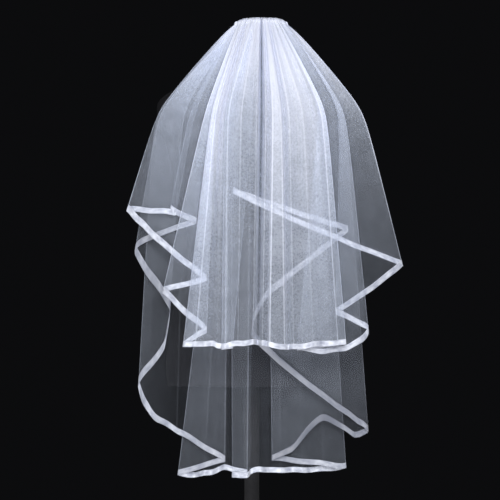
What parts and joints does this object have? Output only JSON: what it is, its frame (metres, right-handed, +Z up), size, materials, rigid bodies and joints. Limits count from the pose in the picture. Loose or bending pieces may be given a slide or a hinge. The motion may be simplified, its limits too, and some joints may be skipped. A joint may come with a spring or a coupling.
{
  "type": "two-tier bridal veil on a dress form",
  "caption": "Two-tier tulle bridal veil with satin ribbon edges and cascading sides, gathered on a hair comb and hung on a limbless dress form on a pole stand.",
  "frame": {"origin": "centre of the base's underside, on the floor", "axes": "+Z up, +Y to the dress form's front, -Y to the side that the veil hangs on, +X to the right as seen from behind the form"},
  "size_m": [0.539, 0.402, 1.5005],
  "materials": {
    "tulle": "cool white sheer tulle net, soft sheen",
    "ribbon": "white satin ribbon",
    "comb": "clear plastic",
    "neck_cap": "black, satin",
    "form": "black jersey",
    "pole": "black, satin",
    "base": "black, satin"
  },
  "bodies": {
    "root": {"upper_tier": "tulle", "lower_tier": "tulle", "upper_ribbon": "ribbon", "lower_ribbon": "ribbon", "comb": "comb", "neck_cap": "neck_cap", "torso": "form", "pole": "pole", "base": "base"}
  },
  "joints": []
}
